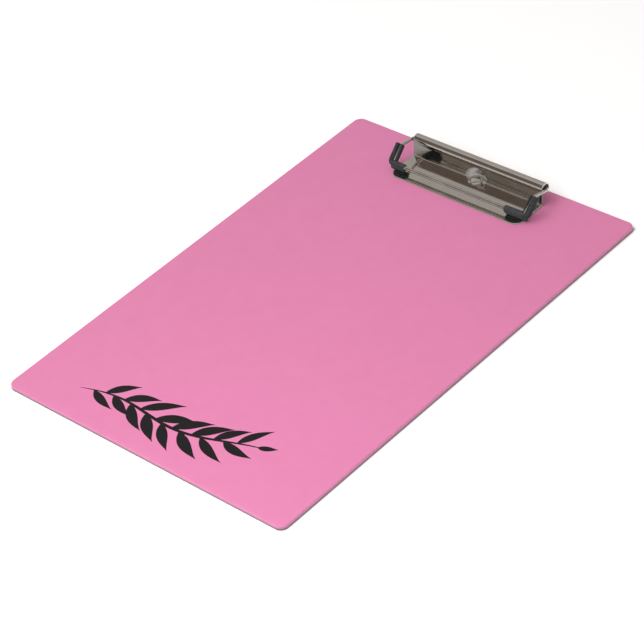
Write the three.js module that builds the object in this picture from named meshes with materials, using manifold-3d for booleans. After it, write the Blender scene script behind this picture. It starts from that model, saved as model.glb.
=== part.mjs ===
// A letter-size clipboard with a low wire clip: a printed board, a folded steel clip plate whose rear
// edge is rolled into a barrel, and a sprung wire bail that turns in that barrel and presses the paper
// down with two black corner sleeves.
//
// Millimetres, +Z up. The origin is the middle of the board's underside, +X runs across the board's
// width and +Y along its length, towards the clip.

import * as THREE from 'three';
import { mergeVertices } from 'three/addons/utils/BufferGeometryUtils.js';
import Module from 'manifold-3d';

const wasm = await Module();
wasm.setup();

// ---- Board ----
const BOARD_WIDTH = 228.6;
const BOARD_LENGTH = 317.5;
const BOARD_CORNER_RADIUS = 5.5;
const CORE_THICKNESS = 3.05;
const FILM_THICKNESS = 0.15;
const BOARD_THICKNESS = CORE_THICKNESS + FILM_THICKNESS;

// ---- Clip plate: one sheet, with the bend between foot and wall at the clip group's origin ----
const BEND_FROM_REAR_EDGE = 15.25;
const PLATE_WIDTH = 106;
const SHEET = 0.9;
const FOOT_DEPTH = 23.9;
const FOOT_CORNER_RADIUS = 5.5;
const WALL_LEAN = THREE.MathUtils.degToRad(11);
const BEND_RADIUS = 1.2;
const ROLL_Z = 10.4;
const ROLL_RADIUS = 3.3;
const ROLL_START_ANGLE = THREE.MathUtils.degToRad(194);
const ROLL_END_ANGLE = THREE.MathUtils.degToRad(-62);
const ARC_STEP = THREE.MathUtils.degToRad(15);

// ---- Niche pressed back into the wall, which gives the eyelet's flange room ----
const NICHE_HALF_WIDTH = 8.4;
const NICHE_DEPTH = 5.4;
const NICHE_HEIGHT = 7.9;

// ---- Hanging eyelet and its washer, through the plate and the board ----
const EYELET_Y = -0.7;
const EYELET_BORE_RADIUS = 3.3;
const EYELET_BARREL_RADIUS = 3.8;
const EYELET_FLANGE_RADIUS = 4.95;
const EYELET_FLANGE_HEIGHT = 0.9;
const EYELET_ROLL_RADIUS = 5.2;
const FASTENER_HOLE_RADIUS = 4.1;
const COUNTERBORE_RADIUS = 6.6;
const COUNTERBORE_DEPTH = 1.5;
const WASHER_RADIUS = 6.2;
const WASHER_THICKNESS = 0.6;

// ---- Wire bail: its sides toe in a little from the barrel to the front corners ----
const WIRE_RADIUS = 1.15;
const LEG_END_X = 35;
const ELBOW_X = 55.2;
const CREST_X = 54.5;
const FRONT_CORNER_X = 53.8;
const CREST_Y = -8.0;
const CREST_Z = 13.0;
const FRONT_BAR_Y = -18.0;
const FRONT_BAR_Z = 5.2;
const ELBOW_RADIUS = 2.2;
const CREST_RADIUS = 3.2;
const FRONT_CORNER_RADIUS = 2.6;

// ---- Corner sleeves, pushed over the bail's front corners; the right one reaches further in ----
const SLEEVE_INNER_END_X = { left: 44.0, right: 38.5 };
const SLEEVE_FRONT_Y = -17.65;
const SLEEVE_FRONT_Z = 4.5;
const SLEEVE_FRONT_WIDTH = 4.3;
const SLEEVE_FRONT_HEIGHT = 4.8;
const SLEEVE_FRONT_FILLET = 1.9;
const SLEEVE_OUTER_X = 57.6;
const SLEEVE_SIDE_WIDTH = 5.2;
const SLEEVE_SIDE_HEIGHT = 5.2;
const SLEEVE_SIDE_FILLET = 1.5;
const SLEEVE_COVER = 2.8;
const SLEEVE_NOSE = 2.3;
const SLEEVE_SIDE_LENGTH = 13.4;
const SLEEVE_SLOT_WIDTH = 1.7;
const SLEEVE_WIRE_GAP = 0.15;
const SLEEVE_LIP_WIDTH = 2.0;
const SLEEVE_LIP_INSET = 0.8;
const SLEEVE_LIP_FILLET = 0.5;
const SLEEVE_FOOT_GAP = 0.2;

// ---- Barrel bushes and torsion springs ----
const BUSH_OUTER_RADIUS = 2.55;
const BUSH_BORE_RADIUS = 1.25;
const BUSH_LENGTH = 3.6;
const BUSH_RECESS = 0.4;
const BUSH_CHAMFER = 0.3;
const SPRING_WIRE_RADIUS = 0.35;
const SPRING_RADIUS = 1.85;
const SPRING_TURNS = 7;
const SPRING_START_X = 48.2;
const SPRING_END_GAP = 0.45;
const SPRING_TURN_STEPS = 12;
const SPRING_HOOK_STEPS = 10;

const ROUND_SEGMENTS = 24;
const WIRE_SEGMENTS = 10;

const CLIP_Y = BOARD_LENGTH / 2 - BEND_FROM_REAR_EDGE;
const AXIS_X = new THREE.Vector3(1, 0, 0);
const AXIS_Y = new THREE.Vector3(0, 1, 0);
const AXIS_Z = new THREE.Vector3(0, 0, 1);

// ---------------------------------------------------------------- solids and shapes

function solidOf(geometry) {
  const bare = geometry.clone();
  bare.deleteAttribute('normal');
  bare.deleteAttribute('uv');
  const merged = mergeVertices(bare);
  return new wasm.Manifold(new wasm.Mesh({
    numProp: 3,
    vertProperties: new Float32Array(merged.attributes.position.array),
    triVerts: new Uint32Array(merged.index.array),
  }));
}

function geometryOf(solid) {
  const result = solid.getMesh();
  const geometry = new THREE.BufferGeometry();
  geometry.setAttribute('position', new THREE.BufferAttribute(result.vertProperties, 3));
  geometry.setIndex(new THREE.BufferAttribute(result.triVerts, 1));
  geometry.computeVertexNormals();
  return geometry;
}

function arc(centreX, centreY, radius, from, to) {
  const steps = Math.ceil(Math.abs(to - from) / ARC_STEP);
  const points = [];
  for (let i = 0; i <= steps; i += 1) {
    const angle = from + (to - from) * i / steps;
    points.push(new THREE.Vector2(centreX + radius * Math.cos(angle), centreY + radius * Math.sin(angle)));
  }
  return points;
}

// A rectangle centred on the origin, with its own radius at the front and at the rear corners.
function roundedRectangle(width, length, frontRadius, rearRadius = frontRadius) {
  const x = width / 2;
  const y = length / 2;
  return new THREE.Shape([
    ...arc(x - rearRadius, y - rearRadius, rearRadius, 0, Math.PI / 2),
    ...arc(rearRadius - x, y - rearRadius, rearRadius, Math.PI / 2, Math.PI),
    ...arc(frontRadius - x, frontRadius - y, frontRadius, Math.PI, Math.PI * 1.5),
    ...arc(x - frontRadius, frontRadius - y, frontRadius, Math.PI * 1.5, Math.PI * 2),
  ]);
}

function circle(radius, segments) {
  const points = [];
  for (let i = 0; i < segments; i += 1) {
    const angle = 2 * Math.PI * i / segments;
    points.push(new THREE.Vector2(radius * Math.cos(angle), radius * Math.sin(angle)));
  }
  return new THREE.Shape(points);
}

function prism(shape, bottom, height) {
  const geometry = new THREE.ExtrudeGeometry(shape, { depth: height, bevelEnabled: false });
  return geometry.translate(0, 0, bottom);
}

// A shape drawn in (Y, Z), swept along +X from -width / 2 to width / 2.
function crossSection(shape, width) {
  const geometry = prism(shape, -width / 2, width);
  return geometry.applyMatrix4(new THREE.Matrix4().makeBasis(AXIS_Y, AXIS_Z, AXIS_X));
}

// A ring turned about Z from [radius, height] pairs that run down its bore and up its outside.
function turned(profile, segments = ROUND_SEGMENTS) {
  const points = profile.map(([radius, height]) => new THREE.Vector2(radius, height));
  const geometry = new THREE.LatheGeometry([...points, points[0].clone()], segments);
  return geometry.rotateX(Math.PI / 2);
}

function round(radius, bottom, top, x, y) {
  return prism(circle(radius, ROUND_SEGMENTS), bottom, top - bottom).translate(x, y, 0);
}

// A path that is swept station by station, so that bends get many stations and straights get none.
class StationPath extends THREE.Curve {
  constructor(stations) {
    super();
    this.stations = stations;
  }

  get steps() {
    return this.stations.length - 1;
  }

  getPoint(t, target = new THREE.Vector3()) {
    const place = t * this.steps;
    const first = Math.min(Math.floor(place), this.steps - 1);
    return target.lerpVectors(this.stations[first], this.stations[first + 1], place - first);
  }

  getTangent(t, target = new THREE.Vector3()) {
    const index = Math.round(t * this.steps);
    const here = this.stations[index];
    const incoming = index > 0 ? here.clone().sub(this.stations[index - 1]).normalize() : null;
    const outgoing = index < this.steps ? this.stations[index + 1].clone().sub(here).normalize() : null;
    target.set(0, 0, 0);
    if (incoming) target.add(incoming);
    if (outgoing) target.add(outgoing);
    return target.normalize();
  }

  getPointAt(u, target) {
    return this.getPoint(u, target);
  }

  getTangentAt(u, target) {
    return this.getTangent(u, target);
  }
}

// The stations of a route through the given corners, each rounded to its own bend radius.
function rounded(corners) {
  const stations = [corners[0].point];
  for (let i = 1; i < corners.length - 1; i += 1) {
    const { point, radius } = corners[i];
    const back = corners[i - 1].point.clone().sub(point).normalize();
    const ahead = corners[i + 1].point.clone().sub(point).normalize();
    const turn = Math.PI - back.angleTo(ahead);
    const reach = radius * Math.tan(turn / 2);
    const start = point.clone().addScaledVector(back, reach);
    const inward = ahead.clone().addScaledVector(back, -back.dot(ahead)).normalize();
    const steps = Math.ceil(turn / ARC_STEP);
    for (let k = 0; k <= steps; k += 1) {
      const angle = turn * k / steps;
      const station = start.clone();
      station.addScaledVector(back, -radius * Math.sin(angle));
      station.addScaledVector(inward, radius * (1 - Math.cos(angle)));
      stations.push(station);
    }
  }
  stations.push(corners[corners.length - 1].point);
  return new StationPath(stations);
}

function rod(path, radius, segments) {
  return new THREE.ExtrudeGeometry(circle(radius, segments), {
    steps: path.steps,
    bevelEnabled: false,
    extrudePath: path,
  });
}

function part(name, geometry, color, roughness, metalness) {
  const mesh = new THREE.Mesh(geometry, new THREE.MeshStandardMaterial({ color, roughness, metalness }));
  mesh.name = name;
  return mesh;
}

// ---------------------------------------------------------------- board

function boardCore() {
  const outline = roundedRectangle(BOARD_WIDTH, BOARD_LENGTH, BOARD_CORNER_RADIUS);
  const y = CLIP_Y + EYELET_Y;
  const solid = solidOf(prism(outline, 0, CORE_THICKNESS))
    .subtract(solidOf(round(FASTENER_HOLE_RADIUS, -1, BOARD_THICKNESS + 1, 0, y)))
    .subtract(solidOf(round(COUNTERBORE_RADIUS, -1, COUNTERBORE_DEPTH, 0, y)));
  return part('board_core', geometryOf(solid), 0xc98aa9, 0.45, 0);
}

function frontPrintFilm() {
  const outline = roundedRectangle(BOARD_WIDTH, BOARD_LENGTH, BOARD_CORNER_RADIUS);
  const solid = solidOf(prism(outline, CORE_THICKNESS, FILM_THICKNESS))
    .subtract(solidOf(round(FASTENER_HOLE_RADIUS, 0, BOARD_THICKNESS + 1, 0, CLIP_Y + EYELET_Y)));
  return part('front_print_film', geometryOf(solid), 0xe587b1, 0.35, 0);
}

// ---------------------------------------------------------------- clip plate

// The middle of the wall's thickness at a height; its front face passes through the bend line.
function wallY(z) {
  return SHEET / 2 / Math.cos(WALL_LEAN) + (z - SHEET) * Math.tan(WALL_LEAN);
}

function rollY() {
  const startZ = ROLL_Z + ROLL_RADIUS * Math.sin(ROLL_START_ANGLE);
  return wallY(startZ) - ROLL_RADIUS * Math.cos(ROLL_START_ANGLE);
}

// One face of the sheet, seen from the end: offset is +SHEET / 2 on the face towards the paper and
// -SHEET / 2 on the other. The foot bends up into the wall, and the wall rolls over backwards.
function sheetFace(offset) {
  const bendZ = SHEET / 2 + BEND_RADIUS;
  const bendY = wallY(bendZ - BEND_RADIUS * Math.sin(WALL_LEAN)) - BEND_RADIUS * Math.cos(WALL_LEAN);
  return [
    new THREE.Vector2(-FOOT_DEPTH, SHEET / 2 + offset),
    ...arc(bendY, bendZ, BEND_RADIUS - offset, -Math.PI / 2, -WALL_LEAN),
    ...arc(rollY(), ROLL_Z, ROLL_RADIUS + offset, ROLL_START_ANGLE, ROLL_END_ANGLE),
  ];
}

function ellipsoid(growth) {
  const geometry = new THREE.SphereGeometry(1, ROUND_SEGMENTS, ROUND_SEGMENTS / 2);
  geometry.rotateX(Math.PI / 2);
  geometry.scale(NICHE_HALF_WIDTH + growth, NICHE_DEPTH + growth, NICHE_HEIGHT + growth);
  return solidOf(geometry.translate(0, 0, SHEET));
}

// Everything behind the leaning wall's front face, from the given height upwards.
function behindWall(bottom) {
  const reach = 3 * NICHE_HALF_WIDTH;
  const slab = new THREE.BoxGeometry(reach, reach, 2 * reach);
  slab.translate(0, reach / 2 + SHEET / 4, 0);
  slab.rotateX(-WALL_LEAN);
  slab.translate(0, 0, SHEET);
  return solidOf(slab).intersect(solidOf(prism(roundedRectangle(reach, 2 * reach, 1), bottom, reach)));
}

function clipBasePlate() {
  const section = new THREE.Shape([...sheetFace(SHEET / 2), ...sheetFace(-SHEET / 2).reverse()]);
  const plan = roundedRectangle(PLATE_WIDTH, 2 * FOOT_DEPTH, FOOT_CORNER_RADIUS, 1);
  const height = ROLL_Z + 2 * ROLL_RADIUS;
  const above = solidOf(prism(plan, SHEET, height));
  const solid = solidOf(crossSection(section, PLATE_WIDTH))
    .intersect(solidOf(prism(plan, -1, height)))
    .add(ellipsoid(SHEET).intersect(behindWall(0)))
    .subtract(ellipsoid(0).intersect(above))
    .subtract(solidOf(round(FASTENER_HOLE_RADIUS, -1, height, 0, EYELET_Y)));
  return part('clip_base_plate', geometryOf(solid), 0x8d857c, 0.22, 1);
}

// ---------------------------------------------------------------- eyelet and washer

function hangingEyelet() {
  const bottom = -BOARD_THICKNESS + 0.2;
  const bearing = -BOARD_THICKNESS + COUNTERBORE_DEPTH - WASHER_THICKNESS - 0.1;
  const crown = SHEET + EYELET_FLANGE_HEIGHT;
  const profile = [
    [EYELET_BORE_RADIUS + 0.8, crown],
    [EYELET_BORE_RADIUS + 0.25, crown - 0.15],
    [EYELET_BORE_RADIUS, crown - 0.55],
    [EYELET_BORE_RADIUS, bottom + 0.5],
    [EYELET_BORE_RADIUS + 0.6, bottom],
    [EYELET_ROLL_RADIUS, bearing - 0.25],
    [EYELET_ROLL_RADIUS - 0.2, bearing],
    [EYELET_BARREL_RADIUS, bearing],
    [EYELET_BARREL_RADIUS, SHEET],
    [EYELET_FLANGE_RADIUS - 0.15, SHEET],
    [EYELET_FLANGE_RADIUS, SHEET + 0.25],
    [EYELET_FLANGE_RADIUS - 0.7, crown - 0.15],
  ];
  const mesh = part('hanging_eyelet', turned(profile), 0x9a938b, 0.2, 1);
  mesh.position.y = EYELET_Y;
  return mesh;
}

function eyeletBackWasher() {
  const top = -BOARD_THICKNESS + COUNTERBORE_DEPTH;
  const inner = EYELET_BARREL_RADIUS + 0.2;
  const profile = [
    [inner, top],
    [inner, top - WASHER_THICKNESS],
    [WASHER_RADIUS, top - WASHER_THICKNESS],
    [WASHER_RADIUS, top],
  ];
  const mesh = part('eyelet_back_washer', turned(profile), 0x9a938b, 0.25, 1);
  mesh.position.y = EYELET_Y;
  return mesh;
}

// ---------------------------------------------------------------- bail and sleeves

function bailSide(side) {
  return [
    { point: new THREE.Vector3(side * LEG_END_X, rollY(), ROLL_Z) },
    { point: new THREE.Vector3(side * ELBOW_X, rollY(), ROLL_Z), radius: ELBOW_RADIUS },
    { point: new THREE.Vector3(side * CREST_X, CREST_Y, CREST_Z), radius: CREST_RADIUS },
    { point: new THREE.Vector3(side * FRONT_CORNER_X, FRONT_BAR_Y, FRONT_BAR_Z), radius: FRONT_CORNER_RADIUS },
  ];
}

function bailPath() {
  return rounded([...bailSide(-1), ...bailSide(1).reverse()]);
}

function wireBail() {
  return part('wire_bail', rod(bailPath(), WIRE_RADIUS, WIRE_SEGMENTS), 0xa8a29a, 0.18, 1);
}

// The side arm follows the slope from the front corner to the crest, and its wire lies at the bottom of
// a slot in its upper face. The front arm follows the front bar, with a lip under it that grips the
// paper against the foot.
function cornerSleeve(side) {
  const hand = side > 0 ? 'right' : 'left';
  const slope = Math.atan2(CREST_Z - FRONT_BAR_Z, CREST_Y - FRONT_BAR_Y);
  // Turns local +Z to run up the slope, and local -Y to be its upper side.
  const alongSlope = (geometry, x) => geometry
    .rotateX(slope - Math.PI / 2)
    .translate(x, FRONT_BAR_Y, FRONT_BAR_Z);
  const section = roundedRectangle(SLEEVE_SIDE_WIDTH, SLEEVE_SIDE_HEIGHT, SLEEVE_SIDE_FILLET);
  const sideArm = prism(section, -SLEEVE_NOSE, SLEEVE_NOSE + SLEEVE_SIDE_LENGTH)
    .translate(0, SLEEVE_SIDE_HEIGHT / 2 - SLEEVE_COVER, 0);
  const sideX = side * (SLEEVE_OUTER_X - SLEEVE_SIDE_WIDTH / 2);
  const slot = prism(roundedRectangle(SLEEVE_SLOT_WIDTH, SLEEVE_SIDE_HEIGHT, 0.1), 0, SLEEVE_SIDE_LENGTH + 1)
    .translate(0, -SLEEVE_SIDE_HEIGHT / 2, 0);
  const innerX = SLEEVE_INNER_END_X[hand];
  const alongFront = (width, height, fillet, from, to) => crossSection(
    roundedRectangle(width, height, fillet),
    to - from,
  ).translate(side * (from + to) / 2, SLEEVE_FRONT_Y, 0);
  const frontArm = alongFront(SLEEVE_FRONT_WIDTH, SLEEVE_FRONT_HEIGHT, SLEEVE_FRONT_FILLET, innerX, Math.abs(sideX))
    .translate(0, 0, SLEEVE_FRONT_Z);
  const bottom = SHEET + SLEEVE_FOOT_GAP;
  const lipHeight = SLEEVE_FRONT_Z - bottom;
  const lip = alongFront(
    SLEEVE_LIP_WIDTH,
    lipHeight,
    SLEEVE_LIP_FILLET,
    innerX + SLEEVE_LIP_INSET,
    Math.abs(sideX) + SLEEVE_LIP_INSET,
  ).translate(0, 0, bottom + lipHeight / 2);
  const solid = solidOf(alongSlope(sideArm, sideX))
    .add(solidOf(frontArm))
    .add(solidOf(lip))
    .subtract(solidOf(rod(bailPath(), WIRE_RADIUS + SLEEVE_WIRE_GAP, WIRE_SEGMENTS)))
    .subtract(solidOf(alongSlope(slot, side * FRONT_CORNER_X)));
  return part(`${hand}_corner_sleeve`, geometryOf(solid), 0x35373a, 0.55, 0);
}

// ---------------------------------------------------------------- bushes and springs

function barrelBush(side) {
  const inner = PLATE_WIDTH / 2 - BUSH_RECESS - BUSH_LENGTH;
  const outer = PLATE_WIDTH / 2 - BUSH_RECESS;
  const profile = [
    [BUSH_BORE_RADIUS, inner],
    [BUSH_OUTER_RADIUS - BUSH_CHAMFER, inner],
    [BUSH_OUTER_RADIUS, inner + BUSH_CHAMFER],
    [BUSH_OUTER_RADIUS, outer - BUSH_CHAMFER],
    [BUSH_OUTER_RADIUS - BUSH_CHAMFER, outer],
    [BUSH_BORE_RADIUS, outer],
  ];
  const name = side > 0 ? 'right_barrel_bush' : 'left_barrel_bush';
  const mesh = part(name, turned(profile), 0x2c2b2b, 0.6, 0);
  mesh.position.set(0, rollY(), ROLL_Z);
  mesh.rotation.y = side * Math.PI / 2;
  return mesh;
}

// A coil round the bail's leg. Past the leg's inner end its last turn crosses the axis as an S.
function springStations(side) {
  const tipX = LEG_END_X - SPRING_END_GAP - SPRING_WIRE_RADIUS;
  const pitch = (SPRING_START_X - tipX) / SPRING_TURNS;
  const station = (x, radius, angle) => new THREE.Vector3(
    side * x,
    rollY() + radius * Math.cos(angle),
    ROLL_Z + radius * Math.sin(angle),
  );
  const stations = [];
  for (let i = 0; i <= SPRING_TURNS * SPRING_TURN_STEPS; i += 1) {
    const turns = i / SPRING_TURN_STEPS;
    stations.push(station(SPRING_START_X - pitch * turns, SPRING_RADIUS, 2 * Math.PI * turns));
  }
  for (let i = 1; i <= SPRING_HOOK_STEPS; i += 1) {
    const share = i / SPRING_HOOK_STEPS;
    stations.push(station(tipX, SPRING_RADIUS * Math.cos(Math.PI * share), Math.PI / 2 * share));
  }
  return stations;
}

function torsionSpring(side) {
  const geometry = rod(new StationPath(springStations(side)), SPRING_WIRE_RADIUS, 6);
  const name = side > 0 ? 'right_torsion_spring' : 'left_torsion_spring';
  return part(name, geometry, 0x6f6a64, 0.35, 1);
}

// ---------------------------------------------------------------- assembly

const clip = new THREE.Group();
clip.position.set(0, CLIP_Y, BOARD_THICKNESS);
clip.add(clipBasePlate(), hangingEyelet(), eyeletBackWasher(), wireBail());
for (const side of [-1, 1]) {
  clip.add(cornerSleeve(side), barrelBush(side), torsionSpring(side));
}

const group = new THREE.Group();
group.add(boardCore(), frontPrintFilm(), clip);

export default group;
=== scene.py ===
"""Looks for the clipboard: finer pieces, materials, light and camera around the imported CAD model.

Shapes are written in millimetres. The clip's pieces use a local frame whose origin is on the board's
face, in the middle of the bend between the clip plate's foot and wall.
"""

import math
import random

import bmesh
import bpy
from mathutils import Matrix, Vector


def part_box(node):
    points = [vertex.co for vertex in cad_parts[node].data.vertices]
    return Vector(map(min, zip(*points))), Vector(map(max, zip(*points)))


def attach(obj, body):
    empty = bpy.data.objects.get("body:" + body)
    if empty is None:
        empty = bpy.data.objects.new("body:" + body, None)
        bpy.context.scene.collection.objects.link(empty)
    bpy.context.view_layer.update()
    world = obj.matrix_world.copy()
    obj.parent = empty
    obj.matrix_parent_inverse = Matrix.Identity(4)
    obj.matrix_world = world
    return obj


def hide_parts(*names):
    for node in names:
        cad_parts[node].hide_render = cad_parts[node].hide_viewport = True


MM = 0.001
TOUCHING = 1e-6

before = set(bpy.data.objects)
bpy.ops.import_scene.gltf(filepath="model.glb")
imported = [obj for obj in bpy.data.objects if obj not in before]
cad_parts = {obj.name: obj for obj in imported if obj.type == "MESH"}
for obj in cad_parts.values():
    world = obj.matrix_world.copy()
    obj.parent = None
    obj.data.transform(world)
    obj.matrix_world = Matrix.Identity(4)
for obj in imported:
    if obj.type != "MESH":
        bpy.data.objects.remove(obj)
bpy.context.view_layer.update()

# ---- places taken from the CAD model

CORE_LOW, CORE_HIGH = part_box("board_core")
FILM_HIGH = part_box("front_print_film")[1]
PLATE_LOW, PLATE_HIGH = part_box("clip_base_plate")
EYELET_LOW, EYELET_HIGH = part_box("hanging_eyelet")
WASHER_LOW, WASHER_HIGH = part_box("eyelet_back_washer")

BOARD_WIDTH = (CORE_HIGH.x - CORE_LOW.x) / MM
BOARD_LENGTH = (CORE_HIGH.y - CORE_LOW.y) / MM
BOARD_CORNER = 5.5
CORE_TOP = CORE_HIGH.z / MM
BOARD_TOP = FILM_HIGH.z / MM
RIM_ROUNDING = 0.75
BACK_ROUNDING = 0.35
PRINT_SKIN = 0.12

FOOT_DEPTH = 23.9
SHEET = 0.9
CLIP_ORIGIN = Vector((0.0, PLATE_LOW.y / MM + FOOT_DEPTH, PLATE_LOW.z / MM))
PLATE_HALF_WIDTH = (PLATE_HIGH.x - PLATE_LOW.x) / MM / 2
EYELET_CENTRE = (EYELET_LOW + EYELET_HIGH) / 2 / MM

FOOT_CORNER = 5.5
WALL_LEAN = math.radians(11)
BEND_RADIUS = 1.2
ROLL_Z = 10.4
ROLL_RADIUS = 3.3
ROLL_START = math.radians(194)
ROLL_END = math.radians(-62)
NICHE_HALF_WIDTH = 8.4
NICHE_DEPTH = 5.4
NICHE_HEIGHT = 7.9

WIRE_RADIUS = 1.15
LEG_END_X = 35.0
ELBOW_X = 55.2
CREST_X = 54.5
FRONT_CORNER_X = 53.8
CREST_Y = -8.0
CREST_Z = 13.0
FRONT_BAR_Y = -18.0
FRONT_BAR_Z = 5.2
ELBOW_RADIUS = 2.2
CREST_RADIUS = 3.2
FRONT_CORNER_RADIUS = 2.6

SLEEVE_INNER_END = {-1: 44.0, 1: 38.5}
SLEEVE_FRONT_SIZE = (4.3, 4.8)
SLEEVE_SIDE_SIZE = (5.2, 5.2)
SLEEVE_FRONT_FILLET = 1.9
SLEEVE_SIDE_FILLET = 1.5
SLEEVE_OUTER_X = 57.6
SLEEVE_FRONT_Y = -17.65
SLEEVE_FRONT_Z = 4.5
SLEEVE_COVER = 2.8
SLEEVE_SIDE_LENGTH = 13.4
SLEEVE_CORNER = 2.75
SLEEVE_LIP_WIDTH = 2.0
SLEEVE_LIP_INSET = 0.8
SLEEVE_LIP_BOTTOM = SHEET + 0.2
SLOT_WIDTH = 1.5
SLOT_DEPTH = 2.2

SIDE_NAMES = {-1: "left", 1: "right"}


# ---- mesh helpers


def spread(low, high, count):
    """Numbers from low to high in count equal steps."""
    return [low + (high - low) * k / count for k in range(count + 1)]


def smoothstep(low, high, value):
    share = min(max((value - low) / (high - low), 0.0), 1.0)
    return share * share * (3 - 2 * share)


def add_object(name, data):
    thing = bpy.data.objects.new(name, data)
    bpy.context.scene.collection.objects.link(thing)
    return thing


def merge(shapes):
    """Several (points, faces) shapes as one."""
    points, faces = [], []
    for more_points, more_faces in shapes:
        start = len(points)
        points += more_points
        faces += [tuple(i + start for i in face) for face in more_faces]
    return points, faces


def piece(name, shape, body, material, nodes=(), origin=(0, 0, 0), crease=35):
    """A (points, faces) shape in millimetres becomes an object that rides on a CAD body.

    It stands for the CAD nodes, which it hides, and carries the material it is given.
    """
    points, faces = shape
    mesh = bpy.data.meshes.new(name)
    offset = Vector(origin)
    mesh.from_pydata([(Vector(p) + offset) * MM for p in points], [], faces)
    working = bmesh.new()
    working.from_mesh(mesh)
    bmesh.ops.recalc_face_normals(working, faces=working.faces)
    limit = math.radians(crease)
    for face in working.faces:
        face.smooth = True
    for edge in working.edges:
        edge.smooth = len(edge.link_faces) == 2 and edge.calc_face_angle(math.pi) < limit
    working.to_mesh(mesh)
    working.free()
    mesh.materials.append(material)
    thing = add_object(name, mesh)
    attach(thing, body)
    if nodes:
        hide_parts(*nodes)
    return thing


FILLET_STEP = math.radians(10)
ROUTE_STEP = math.radians(6)


def bend(here, before, after, radius, step):
    """Points round the arc of a radius that replaces the corner here, between before and after."""
    back = (before - here).normalized()
    ahead = (after - here).normalized()
    turn = math.pi - back.angle(ahead)
    start = here + back * radius * math.tan(turn / 2)
    inward = (ahead - back * back.dot(ahead)).normalized()
    steps = max(2, math.ceil(turn / step))
    points = []
    for k in range(steps + 1):
        angle = turn * k / steps
        points.append(start - back * radius * math.sin(angle) + inward * radius * (1 - math.cos(angle)))
    return points


def fillet(corners):
    """A closed outline through (x, y, radius) corners, each rounded to its radius."""
    outline = []
    for i, (x, y, radius) in enumerate(corners):
        before = Vector(corners[i - 1][:2])
        after = Vector(corners[(i + 1) % len(corners)][:2])
        outline += bend(Vector((x, y)), before, after, radius, FILLET_STEP)
    return outline


def rounded_rectangle(half_x, half_y, radius, steps):
    """Points round a rectangle whose corners turn about (half_x, half_y), each with the normal there."""
    pairs = []
    for quarter, (sx, sy) in enumerate(((1, 1), (-1, 1), (-1, -1), (1, -1))):
        for k in range(steps + 1):
            angle = math.pi / 2 * (quarter + k / steps)
            c, s = math.cos(angle), math.sin(angle)
            pairs.append(((sx * half_x + radius * c, sy * half_y + radius * s), (c, s)))
    return pairs


def rounded_route(corners, spacing):
    """Stations no more than spacing apart along a route through (point, bend radius) corners."""
    places = [Vector(place) for place, radius in corners]
    stations = [places[0]]
    for i in range(1, len(corners) - 1):
        stations += bend(places[i], places[i - 1], places[i + 1], corners[i][1], ROUTE_STEP)
    stations.append(places[-1])
    dense = [stations[0]]
    for a, b in zip(stations, stations[1:]):
        pieces = max(1, math.ceil((b - a).length / spacing))
        dense += [a.lerp(b, k / pieces) for k in range(1, pieces + 1)]
    return dense


def tangents(stations):
    result = []
    last = len(stations) - 1
    for i in range(len(stations)):
        before, after = stations[max(i - 1, 0)], stations[min(i + 1, last)]
        result.append((after - before).normalized())
    return result


def join_rings(rings, looped=False):
    """Points and faces of a skin through rings of equal length.

    A looped skin comes back to its first ring. Any other is closed by a fan at each end.
    """
    count = len(rings[0])
    points = [p for ring in rings for p in ring]
    faces = []
    for r in range(len(rings) if looped else len(rings) - 1):
        here, there = r * count, (r + 1) % len(rings) * count
        for k in range(count):
            n = (k + 1) % count
            faces.append((here + k, here + n, there + n, there + k))
    if not looped:
        for ring_start in (0, (len(rings) - 1) * count):
            centre = len(points)
            ring = points[ring_start:ring_start + count]
            points.append(sum((Vector(p) for p in ring), Vector()) / count)
            faces += [(ring_start + k, ring_start + (k + 1) % count, centre) for k in range(count)]
    return points, faces


# The rounding of a wire's end, from the very end inwards, as shares of its length and its radius.
WIRE_TIP = ((1.0, 0.35), (0.86, 0.7), (0.5, 0.93))


def wire(stations, radius, segments, tip=0.35):
    """A round wire along stations, with its two ends rounded off over the length tip."""
    axes = tangents(stations)
    normal = axes[0].orthogonal().normalized()
    rings = []
    last = len(stations) - 1
    for i, (centre, axis) in enumerate(zip(stations, axes)):
        normal = (normal - axis * normal.dot(axis)).normalized()
        side = axis.cross(normal)
        places = [(0.0, 1.0)]
        if i == 0:
            places = [(-tip * along, share) for along, share in WIRE_TIP] + places
        if i == last:
            places = places + [(tip * along, share) for along, share in reversed(WIRE_TIP)]
        for along, share in places:
            ring = []
            for k in range(segments):
                angle = 2 * math.pi * k / segments
                offset = (normal * math.cos(angle) + side * math.sin(angle)) * radius * share
                ring.append(centre + axis * along + offset)
            rings.append(ring)
    return join_rings(rings)


def turned(profile, segments, centre, axis="Z"):
    """A ring turned about an axis through centre, from a closed outline of (radius, height) points."""
    middle = Vector(centre)
    rings = []
    for i in range(segments):
        angle = 2 * math.pi * i / segments
        ring = []
        for radius, height in profile:
            across, up = radius * math.cos(angle), radius * math.sin(angle)
            point = Vector((across, up, height)) if axis == "Z" else Vector((height, across, up))
            ring.append(middle + point)
        rings.append(ring)
    return join_rings(rings, looped=True)


# ---- colours, linear

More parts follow.
